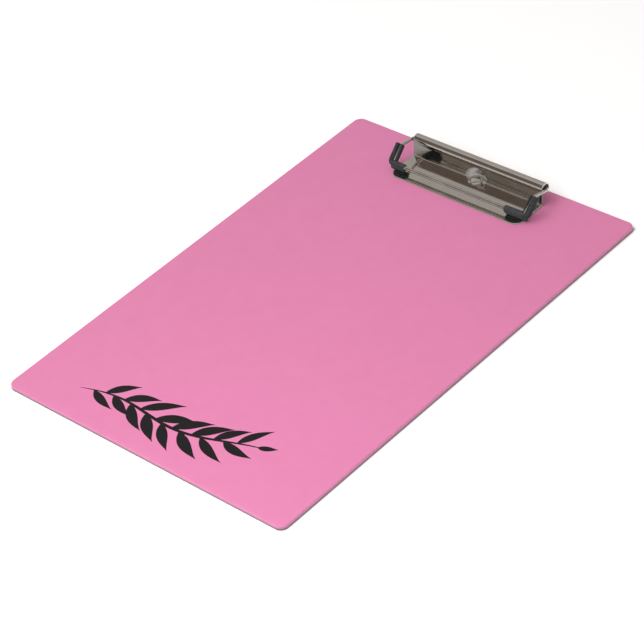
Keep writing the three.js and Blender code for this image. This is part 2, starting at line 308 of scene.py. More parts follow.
PRINT_PINK_DEEP = (0.780, 0.238, 0.455)
PRINT_PINK_LIGHT = (0.798, 0.250, 0.470)
PRINT_PINK_SPECK = (0.840, 0.310, 0.520)
CORE_PINK = (0.500, 0.225, 0.345)
CORE_PINK_LIGHT = (0.560, 0.265, 0.390)
# The board back's dark tone. It is also used as painted contact shade on the lower part of the sides.
CORE_BACK_AND_SHADE = (0.190, 0.095, 0.138)
CORE_BACK_AND_SHADE_PALER = (0.225, 0.115, 0.163)
PRIMER = (0.42, 0.41, 0.40)
INK_BLACK = (0.007, 0.006, 0.007)
INK_BLACK_WORN = (0.018, 0.014, 0.016)
NICKEL = (0.78, 0.745, 0.70)
NICKEL_DARK = (0.70, 0.665, 0.62)
DRAWN_NICKEL = (0.88, 0.875, 0.885)
WIRE_NICKEL = (0.80, 0.77, 0.73)
WIRE_NICKEL_DARK = (0.56, 0.53, 0.495)
RUBBER_DARK = (0.036, 0.038, 0.041)
RUBBER_LIGHT = (0.060, 0.064, 0.070)
RUBBER_DUST = (0.11, 0.115, 0.12)
NYLON_DARK = (0.032, 0.028, 0.026)
NYLON_LIGHT = (0.062, 0.056, 0.05)
FLOOR_PALE = (0.93, 0.93, 0.935)
FLOOR_PALER = (0.945, 0.945, 0.945)

DRAWN_ROUGHNESS = 0.15
NOISE_ROUGHNESS = 0.55


# ---- material helpers


def colour_mix(tree, share, first, second):
    """A node in tree that mixes colours first and second by share."""
    node = tree.nodes.new("ShaderNodeMix")
    node.data_type = "RGBA"
    tree.links.new(share, node.inputs["Factor"])
    for socket, value in ((node.inputs[6], first), (node.inputs[7], second)):
        if isinstance(value, tuple):
            socket.default_value = (*value, 1)
        else:
            tree.links.new(value, socket)
    return node.outputs[2]


# The niche's finish fades out between these shares of the way to its outline.
NICHE_FINISH_FULL = 0.86
NICHE_FINISH_END = 0.97


class Finish:
    """A node material: a Principled shader with noise that is laid over the object in millimetres."""

    def __init__(self, name, colour, roughness, metallic=0.0, specular=0.5):
        self.material = bpy.data.materials.new(name)
        self.material.use_nodes = True
        self.nodes = self.material.node_tree.nodes
        self.links = self.material.node_tree.links
        self.shader = self.nodes["Principled BSDF"]
        self.shader.inputs["Base Color"].default_value = (*colour, 1)
        self.shader.inputs["Roughness"].default_value = roughness
        self.shader.inputs["Metallic"].default_value = metallic
        self.shader.inputs["Specular IOR Level"].default_value = specular
        self.place = self.nodes.new("ShaderNodeTexCoord").outputs["Object"]

    def noise(self, size, stretch=(1, 1, 1), detail=3.0):
        """Noise whose features are about size millimetres, drawn out along an axis by stretch."""
        mapping = self.nodes.new("ShaderNodeMapping")
        mapping.inputs["Scale"].default_value = [1 / (size * MM * s) for s in stretch]
        texture = self.nodes.new("ShaderNodeTexNoise")
        texture.inputs["Scale"].default_value = 1.0
        texture.inputs["Detail"].default_value = detail
        texture.inputs["Roughness"].default_value = NOISE_ROUGHNESS
        self.links.new(self.place, mapping.inputs["Vector"])
        self.links.new(mapping.outputs["Vector"], texture.inputs["Vector"])
        return texture.outputs["Fac"]

    def height(self, axis):
        """The place along an axis, in metres."""
        split = self.nodes.new("ShaderNodeSeparateXYZ")
        self.links.new(self.place, split.inputs[0])
        return split.outputs[axis]

    def vector_math(self, operation, vector, other=(0, 0, 0)):
        node = self.nodes.new("ShaderNodeVectorMath")
        node.operation = operation
        node.inputs[1].default_value = other
        self.links.new(vector, node.inputs[0])
        return node

    def in_niche(self):
        """1 on the niche's pressed face, and 0 on the wall and foot round it."""
        middle = (CLIP_ORIGIN + Vector((0, 0, SHEET))) * MM
        moved = self.vector_math("SUBTRACT", self.place, middle)
        sizes = (1 / (NICHE_HALF_WIDTH * MM), 0, 1 / (NICHE_HEIGHT * MM))
        shares = self.vector_math("MULTIPLY", moved.outputs[0], sizes)
        reach = self.vector_math("LENGTH", shares.outputs[0])
        within = self.ramp(reach.outputs["Value"], NICHE_FINISH_END, NICHE_FINISH_FULL)
        wall_side = self.math("GREATER_THAN", self.height("Y"), CLIP_ORIGIN.y * MM)
        return self.math("MULTIPLY", within, wall_side)

    def ramp(self, value, low, high, to_low=0.0, to_high=1.0):
        """Value carried from low..high to to_low..to_high."""
        node = self.nodes.new("ShaderNodeMapRange")
        node.inputs["From Min"].default_value = low
        node.inputs["From Max"].default_value = high
        node.inputs["To Min"].default_value = to_low
        node.inputs["To Max"].default_value = to_high
        self.links.new(value, node.inputs["Value"])
        return node.outputs["Result"]

    def math(self, operation, first, second):
        node = self.nodes.new("ShaderNodeMath")
        node.operation = operation
        for socket, value in zip(node.inputs, (first, second)):
            if isinstance(value, (int, float)):
                socket.default_value = value
            else:
                self.links.new(value, socket)
        return node.outputs["Value"]

    def plus(self, first, share, second):
        """First, plus a share of second."""
        return self.math("ADD", first, self.math("MULTIPLY", second, share))

    def mix(self, share, first, second):
        """Colours first and second mixed by share."""
        return colour_mix(self.material.node_tree, share, first, second)

    def colour(self, value):
        self.links.new(value, self.shader.inputs["Base Color"])

    def roughness(self, value):
        self.links.new(value, self.shader.inputs["Roughness"])

    def bump(self, value, depth, strength):
        """Relief depth millimetres deep."""
        node = self.nodes.new("ShaderNodeBump")
        node.inputs["Strength"].default_value = strength
        node.inputs["Distance"].default_value = depth * MM
        self.links.new(value, node.inputs["Height"])
        self.links.new(node.outputs["Normal"], self.shader.inputs["Normal"])


# Heights in millimetres. Below the first, the board has the dark back colour with its painted contact
# shade. Above the second, it has the side's own colour.
BACK_AND_SHADE_TOP = 0.75
SIDE_COLOUR_BOTTOM = 1.5
PRIMER_REACH = 0.15
PRIMER_FULL = 0.05


def print_finish():
    """Satin print on hardboard: a faint orange-peel relief and hardly visible mottling."""
    finish = Finish("print_satin", PRINT_PINK_DEEP, 0.42, specular=0.45)
    mottle = finish.noise(9.0, detail=4.0)
    grain = finish.noise(0.45, detail=4.0)
    share = finish.ramp(mottle, 0.3, 0.7)
    soft = finish.mix(share, PRINT_PINK_DEEP, PRINT_PINK_LIGHT)
    specks = finish.ramp(grain, 0.60, 0.78, 0.0, 0.10)
    finish.colour(finish.mix(specks, soft, PRINT_PINK_SPECK))
    finish.roughness(finish.ramp(grain, 0.3, 0.7, 0.36, 0.48))
    orange_peel = finish.noise(1.6, detail=2.0)
    finish.bump(finish.plus(orange_peel, 0.5, grain), 0.02, 0.35)
    return finish.material


def core_finish():
    """Sealed hardboard: pressed fibres under a tinted lacquer, dark on the back and primed on top, with
    painted contact shade darkening its sides towards the bottom.
    """
    finish = Finish("hardboard_lacquer", CORE_PINK, 0.5, specular=0.4)
    fibres = finish.noise(0.5, stretch=(6, 1.2, 0.5), detail=5.0)
    cloud = finish.noise(5.0, detail=3.0)
    side = finish.mix(finish.ramp(fibres, 0.35, 0.7), CORE_PINK, CORE_PINK_LIGHT)
    # The dark back colour. The ramp below also lays it on the lower part of the sides as painted contact
    # shade.
    back = finish.mix(finish.ramp(cloud, 0.35, 0.65), CORE_BACK_AND_SHADE, CORE_BACK_AND_SHADE_PALER)
    height = finish.height("Z")
    above_back_and_shade = finish.ramp(height, BACK_AND_SHADE_TOP * MM, SIDE_COLOUR_BOTTOM * MM)
    on_top = finish.ramp(height, (CORE_TOP - PRIMER_REACH) * MM, (CORE_TOP - PRIMER_FULL) * MM)
    finish.colour(finish.mix(on_top, finish.mix(above_back_and_shade, back, side), PRIMER))
    finish.roughness(finish.ramp(cloud, 0.3, 0.7, 0.42, 0.6))
    finish.bump(fibres, 0.03, 0.5)
    return finish.material


def ink_finish():
    """Black ink, a touch glossier than the print round it, with a brush's uneven cover."""
    finish = Finish("print_ink", INK_BLACK, 0.42, specular=0.25)
    strokes = finish.noise(0.7, stretch=(5, 1, 1), detail=4.0)
    cover = finish.ramp(strokes, 0.35, 0.75)
    finish.colour(finish.mix(cover, INK_BLACK, INK_BLACK_WORN))
    finish.roughness(finish.ramp(strokes, 0.3, 0.7, 0.34, 0.5))
    finish.bump(strokes, 0.01, 0.3)
    return finish.material


def plated_finish(name, colour, dark, rough, grain_axis=(8, 1, 1), stretched=False):
    """Nickel plate on sheet or wire: rolling lines, faint smears and small pits.

    A stretched plate is duller and paler in the niche, where pressing has drawn the sheet out.
    """
    finish = Finish(name, colour, rough, metallic=1.0)
    lines = finish.noise(0.35, stretch=grain_axis, detail=4.0)
    smears = finish.noise(6.0, stretch=(2, 1, 1), detail=3.0)
    pits = finish.noise(0.5, detail=5.0)
    tone = finish.math("MULTIPLY", finish.math("ADD", lines, smears), 0.5)
    plate_colour = finish.mix(finish.ramp(tone, 0.38, 0.62), dark, colour)
    plate_roughness = finish.ramp(finish.plus(smears, 0.3, pits), 0.5, 0.85, rough * 0.7, rough * 1.4)
    if stretched:
        drawn = finish.in_niche()
        plate_colour = finish.mix(drawn, plate_colour, DRAWN_NICKEL)
        drawn_roughness = finish.ramp(pits, 0.3, 0.7, 0.8 * DRAWN_ROUGHNESS, DRAWN_ROUGHNESS)
        dull = finish.math("MULTIPLY", drawn, drawn_roughness)
        plate_roughness = finish.math("MAXIMUM", plate_roughness, dull)
    finish.colour(plate_colour)
    finish.roughness(plate_roughness)
    finish.bump(finish.plus(lines, 0.6, smears), 0.001, 0.2)
    return finish.material


def rubber_finish():
    """Dark grey moulded rubber: fine mould texture, with dust paler on it in patches."""
    finish = Finish("moulded_rubber", RUBBER_DARK, 0.55, specular=0.45)
    texture = finish.noise(0.28, detail=5.0)
    patches = finish.noise(2.2, detail=3.0)
    base = finish.mix(finish.ramp(patches, 0.35, 0.7), RUBBER_DARK, RUBBER_LIGHT)
    finish.colour(finish.mix(finish.ramp(texture, 0.55, 0.8, 0.0, 0.35), base, RUBBER_DUST))
    finish.roughness(finish.ramp(patches, 0.3, 0.7, 0.45, 0.66))
    finish.bump(texture, 0.05, 0.45)
    return finish.material


def nylon_finish():
    """Dark nylon: turned rings and a waxy, slightly mottled face."""
    finish = Finish("dark_nylon", NYLON_DARK, 0.5, specular=0.5)
    rings = finish.noise(0.3, stretch=(1, 4, 4), detail=3.0)
    patches = finish.noise(1.4, detail=3.0)
    finish.colour(finish.mix(finish.ramp(patches, 0.35, 0.65), NYLON_DARK, NYLON_LIGHT))
    finish.roughness(finish.ramp(rings, 0.3, 0.7, 0.38, 0.6))
    finish.bump(rings, 0.03, 0.4)
    return finish.material


PRINT = print_finish()
CORE = core_finish()
INK = ink_finish()
PLATED = plated_finish("nickel_plate", NICKEL, NICKEL_DARK, 0.075, stretched=True)
EYELET_PLATED = plated_finish("nickel_eyelet", WIRE_NICKEL, NICKEL_DARK, 0.07, grain_axis=(1, 1, 1))
SPRING_WIRE = plated_finish("nickel_wire", WIRE_NICKEL, WIRE_NICKEL_DARK, 0.10)
RUBBER = rubber_finish()
NYLON = nylon_finish()


# ---- board


def board_outline(inset):
    """The board's rounded outline, drawn in by inset, as points of equal number for every inset."""
    half_x, half_y = BOARD_WIDTH / 2 - BOARD_CORNER, BOARD_LENGTH / 2 - BOARD_CORNER
    pairs = rounded_rectangle(half_x, half_y, BOARD_CORNER - inset, BOARD_CORNER_STEPS)
    return [place for place, normal in pairs]


def circle_points(radius, segments, y):
    """Points round a circle whose centre is at y on the board's middle line."""
    angles = [2 * math.pi * k / segments for k in range(segments)]
    return [(radius * math.cos(angle), y + radius * math.sin(angle)) for angle in angles]


def pierced_slab(outer, inner):
    """A closed slab with one hole. Outer and inner list [(outline, z)] rings from the top down."""
    working = bmesh.new()

    def add_rings(levels):
        rings = []
        for outline, z in levels:
            rings.append([working.verts.new((x, y, z)) for x, y in outline])
        for upper, lower in zip(rings, rings[1:]):
            count = len(upper)
            for k in range(count):
                working.faces.new((upper[k], upper[(k + 1) % count], lower[(k + 1) % count], lower[k]))
        return rings

    def loop_edges(ring):
        edges = []
        for k, vert in enumerate(ring):
            after = ring[(k + 1) % len(ring)]
            edges.append(working.edges.get((vert, after)) or working.edges.new((vert, after)))
        return edges

    outer_rings, inner_rings = add_rings(outer), add_rings(inner)
    for index in (0, -1):
        edges = loop_edges(outer_rings[index]) + loop_edges(inner_rings[index])
        bmesh.ops.triangle_fill(working, use_beauty=True, use_dissolve=False, edges=edges)
    working.verts.index_update()
    points = [v.co.copy() for v in working.verts]
    faces = [tuple(v.index for v in f.verts) for f in working.faces]
    working.free()
    return points, faces


BOARD_CORNER_STEPS = 16
HOLE_RADIUS = 4.1
HOLE_SEGMENTS = 48
COUNTERBORE_RADIUS = 6.6
COUNTERBORE_DEPTH = 1.5
COUNTERBORE_CHAMFER = 0.15
QUARTER_STEPS = 6
CORE_TOP_GAP = 0.02
CORE_RIM_SHARE = 0.9
CORE_BAND = 0.25
FILM_BASE_GAP = 0.01
FILM_LIP = 0.05


def quarter_round(radius, z, upper):
    """(inset, z) pairs down a quarter-round edge: from the top face, or towards the bottom face."""
    pairs = []
    for k in range(QUARTER_STEPS + 1):
        angle = math.pi / 2 * k / QUARTER_STEPS
        if upper:
            pairs.append((radius * (1 - math.sin(angle)), z - radius * (1 - math.cos(angle))))
        else:
            pairs.append((radius * (1 - math.cos(angle)), z + radius * (1 - math.sin(angle))))
    return pairs


def make_board():
    """The board, set in under the printed skin, with the eyelet's hole and a counterbore in its back."""
    edge = [
        (PRINT_SKIN + RIM_ROUNDING * CORE_RIM_SHARE, CORE_TOP - CORE_TOP_GAP),
        (PRINT_SKIN, CORE_TOP - RIM_ROUNDING),
        (0.0, CORE_TOP - RIM_ROUNDING - CORE_BAND),
    ]
    edge += quarter_round(BACK_ROUNDING, 0.0, upper=False)
    outer = [(board_outline(inset), z) for inset, z in edge]
    bore = [
        (HOLE_RADIUS, CORE_TOP - CORE_TOP_GAP),
        (HOLE_RADIUS, COUNTERBORE_DEPTH),
        (COUNTERBORE_RADIUS, COUNTERBORE_DEPTH),
        (COUNTERBORE_RADIUS, COUNTERBORE_CHAMFER),
        (COUNTERBORE_RADIUS + COUNTERBORE_CHAMFER, 0.0),
    ]
    inner = [(circle_points(radius, HOLE_SEGMENTS, EYELET_CENTRE.y), z) for radius, z in bore]
    shape = pierced_slab(outer, inner)
    piece("board_body", shape, "board", CORE, ["board_core"], crease=40)


def make_print():
    """The printed skin: flat on the face, and wrapped down round the board's upper rim.

    It is seen by the camera but not in the plated steel, which mirrors the board's primed face.
    """
    base = CORE_TOP - FILM_BASE_GAP
    lip = BOARD_TOP - RIM_ROUNDING - FILM_LIP
    edge = quarter_round(RIM_ROUNDING, BOARD_TOP, upper=True)
    edge += [(0.0, lip), (PRINT_SKIN + FILM_LIP, lip), (PRINT_SKIN + RIM_ROUNDING, base)]
    outer = [(board_outline(inset), z) for inset, z in edge]
    inner = [(circle_points(HOLE_RADIUS, HOLE_SEGMENTS, EYELET_CENTRE.y), z) for z in (BOARD_TOP, base)]
    shape = pierced_slab(outer, inner)
    film = piece("print_sheet", shape, "board", PRINT, ["front_print_film"], crease=40)
    film.visible_glossy = False
    film.visible_diffuse = False
    film.visible_shadow = False


# ---- printed sprig

INK_LIFT = 0.02
INK_STEP = 0.001
INK_SINK = 0.01
LEAF_STEPS = 14
LEAF_TIP_SHARE = 0.04
LEAF_PAIRS = 8
LEAF_LENGTH = (22.0, 26.0)
LEAF_WIDTH = (5.8, 6.8)
LEAF_OPENING = (40, 52)
LEAF_CURL = (18, 34)
FIRST_LEAF = 0.07
LEAVES_REACH = 0.88
PAIR_STAGGER = 0.28
END_LEAF = {"length": 13.0, "width": 4.0, "curl": 0.25}
SPRIG_START = Vector((-73.0, -138.0))
SPRIG_END = Vector((56.0, -121.0))
STEM_SWAY = 4.5
STEM_STEPS = 60
STEM_TIP_WIDTH = 0.25
STEM_EXTRA_WIDTH = 1.9
SPRIG_SEED = 7


def ribbon(line, widths, top):
    """A thin closed strip along a flat line, as wide as widths say at each point."""
    points, faces = [], []
    last = len(line) - 1
    for i, place in enumerate(line):
        along = (line[min(i + 1, last)] - line[max(i - 1, 0)]).normalized()
        across = Vector((-along.y, along.x)) * widths[i] / 2
        left, right = place + across, place - across
        for z in (top, BOARD_TOP - INK_SINK):
            points += [(left.x, left.y, z), (right.x, right.y, z)]
    for i in range(last):
        a, b = 4 * i, 4 * (i + 1)
        faces += [(a, a + 1, b + 1, b), (a + 2, b + 2, b + 3, a + 3)]
        faces += [(a, b, b + 2, a + 2), (a + 1, a + 3, b + 3, b + 1)]
    end = 4 * last
    faces += [(0, 2, 3, 1), (end, end + 1, end + 3, end + 2)]
    return points, faces


def leaf(base, heading, length, width, curl, top):
    """A pointed leaf from base, whose heading turns by curl along its length. Angles are in radians."""
    shares = spread(0.0, 1.0, LEAF_STEPS)
    line = [base]
    for share in shares[1:]:
        angle = heading + curl * share
        line.append(line[-1] + Vector((math.cos(angle), math.sin(angle))) * length / LEAF_STEPS)
    fullness = [max(LEAF_TIP_SHARE, math.sin(math.pi * share ** 0.75) ** 1.15) for share in shares]
    return ribbon(line, [width * full for full in fullness], top)


def stem_point(share):
    """A place on the sprig's stem, which sways from side to side on its way."""
    place = SPRIG_START.lerp(SPRIG_END, share)
    return place + Vector((0.0, STEM_SWAY * math.sin(2.2 * math.pi * share + 0.4)))


def stem_width(share):
    """The stem's width: fullest near the middle, and thin at both ends."""
    turn = math.pi * min(1.0, 0.06 + 0.94 * (1 - share))
    return STEM_TIP_WIDTH + STEM_EXTRA_WIDTH * math.sin(turn) ** 0.8


def make_sprig():
    """A generic leafy sprig. Each leaf lies a hair above the one before, so no two faces coincide."""
    draw = random.Random(SPRIG_SEED)
    top = BOARD_TOP + INK_LIFT
    shares = spread(0.0, 1.0, STEM_STEPS)
    stem = [stem_point(share) for share in shares]
    shapes = [ribbon(stem, [stem_width(share) for share in shares], top)]
    for i in range(LEAF_PAIRS):
        for side in (-1, 1):
            share = FIRST_LEAF + LEAVES_REACH * (i + PAIR_STAGGER * (side + 1)) / LEAF_PAIRS
            ahead = stem_point(min(share + 0.01, 1)) - stem_point(share)
            heading = math.atan2(ahead.y, ahead.x)
            size = 0.72 + 0.42 * math.sin(math.pi * (0.12 + 0.8 * share))
            opening = math.radians(draw.uniform(*LEAF_OPENING)) * side
            curl = -side * math.radians(draw.uniform(*LEAF_CURL))
            length = draw.uniform(*LEAF_LENGTH) * size
            width = draw.uniform(*LEAF_WIDTH) * size
            top += INK_STEP
            shapes.append(leaf(stem_point(share), heading + opening, length, width, curl, top))
    ahead = stem_point(1.0) - stem_point(0.98)
    heading = math.atan2(ahead.y, ahead.x)
    shapes.append(leaf(stem_point(1.0), heading, top=top + INK_STEP, **END_LEAF))
    piece("print_sprig", merge(shapes), "board", INK, crease=30)


# ---- clip plate

EDGE_BULGE = 0.22
RIM_ANGLES = [math.radians(a) for a in (30, 60, 90, 120, 150)]
NICHE_SOFT = 0.03
NICHE_LIP = 0.12
NICHE_FADE_START = -8.0
CUTTER_SEGMENTS = 64
CUTTER_BELOW = 1.0
CUTTER_ABOVE = 0.8

# Rows of points along the plate, from the foot's front edge to the roll's end.
CORNER_ROWS = 16
FOOT_ROWS = 14
CREASE_ROWS_START = -6.0
CREASE_ROWS = 10
BEND_ROWS = 8
WALL_ROWS = 38
ROLL_ROWS = 48

# Columns of points across half the plate: each entry is where they end, and how many there are.
COLUMNS = ((10.4, 52), (44.0, 40), (PLATE_HALF_WIDTH - EDGE_BULGE, 16))


def wall_y(z):
    """The wall's place at a height, along the middle of its sheet."""
    return SHEET / 2 / math.cos(WALL_LEAN) + (z - SHEET) * math.tan(WALL_LEAN)


ROLL_Y = wall_y(ROLL_Z + ROLL_RADIUS * math.sin(ROLL_START)) - ROLL_RADIUS * math.cos(ROLL_START)
BEND_Z = SHEET / 2 + BEND_RADIUS
BEND_Y = wall_y(BEND_Z - BEND_RADIUS * math.sin(WALL_LEAN)) - BEND_RADIUS * math.cos(WALL_LEAN)


def plate_section():
    """Pairs of (front face, back face) points in (y, z), from the foot's front edge to the roll's end."""
    front_edge = -FOOT_DEPTH + EDGE_BULGE
    corner_angles = spread(0.0, math.pi / 2, CORNER_ROWS)
    rows = [front_edge + FOOT_CORNER * (1 - math.cos(angle)) for angle in corner_angles]
    rows += spread(rows[-1], CREASE_ROWS_START, FOOT_ROWS)[1:]
    rows += spread(CREASE_ROWS_START, BEND_Y, CREASE_ROWS)[1:-1]
    foot = [((y, SHEET), (y, 0.0)) for y in rows]

    def arc(centre, radii, angles):
        turns = [Vector((math.cos(angle), math.sin(angle))) for angle in angles]
        return [tuple(centre + turn * radius for radius in radii) for turn in turns]

    half = SHEET / 2
    bend_angles = spread(-math.pi / 2, -WALL_LEAN, BEND_ROWS)
    crease = arc(Vector((BEND_Y, BEND_Z)), (BEND_RADIUS - half, BEND_RADIUS + half), bend_angles)
    roll_angles = spread(ROLL_START, ROLL_END + EDGE_BULGE / ROLL_RADIUS, ROLL_ROWS)
    roll = arc(Vector((ROLL_Y, ROLL_Z)), (ROLL_RADIUS + half, ROLL_RADIUS - half), roll_angles)
    shares = spread(0.0, 1.0, WALL_ROWS)[1:-1]
    wall = [tuple(a.lerp(b, share) for a, b in zip(crease[-1], roll[0])) for share in shares]
    return foot + crease + wall + roll


def plate_half_width(y):
    """Half the plate's width at a place along it: the foot's front corners are rounded."""
    half = PLATE_HALF_WIDTH - EDGE_BULGE
    from_edge = y + FOOT_DEPTH - EDGE_BULGE
    if from_edge >= FOOT_CORNER:
        return half
    short = FOOT_CORNER - from_edge
    return half - FOOT_CORNER + math.sqrt(max(FOOT_CORNER ** 2 - short ** 2, 0.0))


def niche_push(x, z, growth):
    """How far the niche presses the wall back at a place."""
    half, height, depth = NICHE_HALF_WIDTH + growth, NICHE_HEIGHT + growth, NICHE_DEPTH + growth
    up = max(z - SHEET, 0.0)
    inside = 1 - (x / half) ** 2 - (up / height) ** 2
    inside = (inside + math.sqrt(inside ** 2 + NICHE_SOFT ** 2)) / 2
    full = math.sqrt(1 + NICHE_LIP ** 2) - NICHE_LIP
    return depth * (math.sqrt(inside + NICHE_LIP ** 2) - NICHE_LIP) / full


def plate_columns():
    """Places across the plate as shares of its half width, closest together round the niche."""
    right = [0.0]
    for end, count in COLUMNS:
        right += spread(right[-1], end, count)[1:]
    half = right[-1]
    return [-x / half for x in reversed(right[1:])] + [x / half for x in right]


def plate_sides(columns, section):
    """The points of the plate's front and back faces, row by row, with the niche pressed in."""
    front, back = [], []
    for index, (face, rear) in enumerate(section):
        half_width = plate_half_width(face[0])
        on_foot = face[1] <= SHEET + TOUCHING
        stretch = smoothstep(NICHE_FADE_START, BEND_Y, face[0]) if on_foot else 1.0
        if index >= len(section) - ROLL_ROWS:
            stretch = 0.0
        for share in columns:
            x = share * half_width
            push = niche_push(x, face[1], 0.0) * stretch
            rear_push = niche_push(x, rear[1], SHEET) * stretch
            front.append(Vector((x, face[0] + push, face[1])))
            back.append(Vector((x, rear[0] + max(rear_push, push), rear[1])))
    return front, back


def plate_mesh():
    """The folded plate's two faces, joined round their whole outline by a rounded rim."""
    columns, section = plate_columns(), plate_section()
    across, deep = len(columns), len(section)
    front, back = plate_sides(columns, section)
    points = front + back
    shift = len(front)
    faces = []
    for r in range(deep - 1):
        for c in range(across - 1):
            a = r * across + c
            faces.append((a, a + 1, a + 1 + across, a + across))
            faces.append((a + shift, a + across + shift, a + 1 + across + shift, a + 1 + shift))
    loop = list(range(across))
    loop += [r * across + across - 1 for r in range(1, deep)]
    loop += [(deep - 1) * across + c for c in range(across - 2, -1, -1)]
    loop += [r * across for r in range(deep - 2, 0, -1)]
    count = len(loop)
    rims = [[] for _ in RIM_ANGLES]
    for k, index in enumerate(loop):
        before, after = points[loop[k - 1]], points[loop[(k + 1) % count]]
        centre = (points[index] + points[index + shift]) / 2
        half = (points[index] - points[index + shift]) / 2
        outward = (after - before).cross(half).normalized()
        for ring, angle in zip(rims, RIM_ANGLES):
            ring.append(centre + half * math.cos(angle) + outward * EDGE_BULGE * math.sin(angle))
    first_rim = len(points)
    for ring in rims:
        points += ring
    levels = [loop] + [[first_rim + i * count + k for k in range(count)] for i in range(len(rims))]
    levels.append([index + shift for index in loop])
    for upper, lower in zip(levels, levels[1:]):
        for k in range(count):
            n = (k + 1) % count
            faces.append((upper[k], lower[k], lower[n], upper[n]))
    return points, faces


def make_plate():
    """The plate, with the eyelet's hole cut through its foot."""
    plate = piece("clip_plate", plate_mesh(), "board", PLATED, ["clip_base_plate"],
                  origin=CLIP_ORIGIN, crease=30)
    circle = circle_points(HOLE_RADIUS, CUTTER_SEGMENTS, EYELET_CENTRE.y)
    levels = (BOARD_TOP - CUTTER_BELOW, BOARD_TOP + SHEET + CUTTER_ABOVE)
    cutter_points, cutter_faces = join_rings([[(x, y, z) for x, y in circle] for z in levels])
    mesh = bpy.data.meshes.new("hole_cutter")
    mesh.from_pydata([Vector(p) * MM for p in cutter_points], [], cutter_faces)
    cutter = add_object("hole_cutter", mesh)
    cut = plate.modifiers.new("hole", "BOOLEAN")
    cut.operation = "DIFFERENCE"
    cut.solver = "EXACT"
    cut.object = cutter
    bpy.context.view_layer.update()
    evaluated = plate.evaluated_get(bpy.context.evaluated_depsgraph_get())
    result = bpy.data.meshes.new_from_object(evaluated)
    plate.modifiers.clear()
    plate.data = result
    bpy.data.objects.remove(cutter)


# ---- eyelet and washer


EYELET_SEGMENTS = 72
EYELET_BORE = 3.3
EYELET_BODY = 3.8
EYELET_FLANGE = 4.95
EYELET_ROLLED_END = 5.2
EYELET_BEARING = COUNTERBORE_DEPTH - 0.6 - 0.1
WASHER_SEGMENTS = 64
WASHER_BORE = 4.0
WASHER_RADIUS = 6.2


def make_eyelet():
    """A rolled eyelet: its crown and flange lie on the plate's foot, and its rolled end on the washer."""
    bottom = EYELET_LOW.z / MM
    crown = EYELET_HIGH.z / MM
    flange = BOARD_TOP + SHEET + 0.02
    inside = [(4.05, crown, 0.4), (EYELET_BORE, crown - 0.3, 0.45), (EYELET_BORE, bottom + 0.5, 0.4)]
    rolled_end = [(3.9, bottom, 0.3), (EYELET_ROLLED_END, EYELET_BEARING - 0.2, 0.12),
                  (EYELET_ROLLED_END - 0.1, EYELET_BEARING, 0.05)]
    outside = [(EYELET_BODY, EYELET_BEARING, 0.05), (EYELET_BODY, flange, 0.05)]
    head = [(EYELET_FLANGE - 0.15, flange, 0.08), (EYELET_FLANGE, flange + 0.23, 0.1),
            (4.5, crown - 0.1, 0.35)]
    corners = inside + rolled_end + outside + head
    shape = turned(fillet(corners), EYELET_SEGMENTS, (0, EYELET_CENTRE.y, 0))
    piece("eyelet", shape, "board", EYELET_PLATED, ["hanging_eyelet"], crease=50)


def make_washer():
    low, high = WASHER_LOW.z / MM, WASHER_HIGH.z / MM
    corners = [(WASHER_BORE, high, 0.08), (WASHER_BORE, low, 0.1),
               (WASHER_RADIUS, low, 0.15), (WASHER_RADIUS, high, 0.12)]
    shape = turned(fillet(corners), WASHER_SEGMENTS, (0, EYELET_CENTRE.y, 0))
    piece("back_washer", shape, "board", EYELET_PLATED, ["eyelet_back_washer"], crease=50)


# ---- bail, sleeves, bushes, springs


BAIL_SEGMENTS = 24
BAIL_SPACING = 2.5


def bail_corners(side):
    """The (point, bend radius) corners of half the bail, from its leg's end to its front corner."""
    return [
        ((side * LEG_END_X, ROLL_Y, ROLL_Z), 0),
        ((side * ELBOW_X, ROLL_Y, ROLL_Z), ELBOW_RADIUS),
        ((side * CREST_X, CREST_Y, CREST_Z), CREST_RADIUS),
        ((side * FRONT_CORNER_X, FRONT_BAR_Y, FRONT_BAR_Z), FRONT_CORNER_RADIUS),
    ]


def make_bail():
    route = rounded_route(bail_corners(-1) + bail_corners(1)[::-1], BAIL_SPACING)
    shape = wire(route, WIRE_RADIUS, BAIL_SEGMENTS)
    piece("bail_wire", shape, "bail", SPRING_WIRE, ["wire_bail"], origin=CLIP_ORIGIN)


SLOPE = math.atan2(CREST_Z - FRONT_BAR_Z, CREST_Y - FRONT_BAR_Y)
SLEEVE_SECTION_POINTS = 132
SLEEVE_CORNER_STEPS = 12
SLEEVE_SPACING = 0.4
SLEEVE_CORNER_LIFT = 0.3
SLEEVE_END_ROUND = 0.6
FLANK_GROOVES = (-1.0, 0.7)
FLANK_GROOVE_DEPTH = 0.50
TOP_GROOVE = 2.0
TOP_GROOVE_DEPTH = 0.75
GROOVE_WIDTH = 0.32
INNER_SIDE_DROP = 0.8


def section_outline(width, height, radius):
    """A rounded rectangle of width by height, as points at equal distances round it, with normals."""
    pairs = rounded_rectangle(width / 2 - radius, height / 2 - radius, radius, SLEEVE_CORNER_STEPS)
    dense = [(Vector(place), Vector(normal)) for place, normal in pairs]
    lengths = [0.0]
    for k in range(len(dense)):
        lengths.append(lengths[-1] + (dense[(k + 1) % len(dense)][0] - dense[k][0]).length)
    result = []
    segment = 0
    for i in range(SLEEVE_SECTION_POINTS):
        target = lengths[-1] * i / SLEEVE_SECTION_POINTS
        while lengths[segment + 1] < target:
            segment += 1
        share = (target - lengths[segment]) / (lengths[segment + 1] - lengths[segment])
        a, b = dense[segment], dense[(segment + 1) % len(dense)]
        result.append((a[0].lerp(b[0], share), a[1].lerp(b[1], share).normalized()))
    return result


def groove(distance):
    """The share of a groove's depth at a distance from its middle line."""
    return math.exp(-(distance / GROOVE_WIDTH) ** 2)


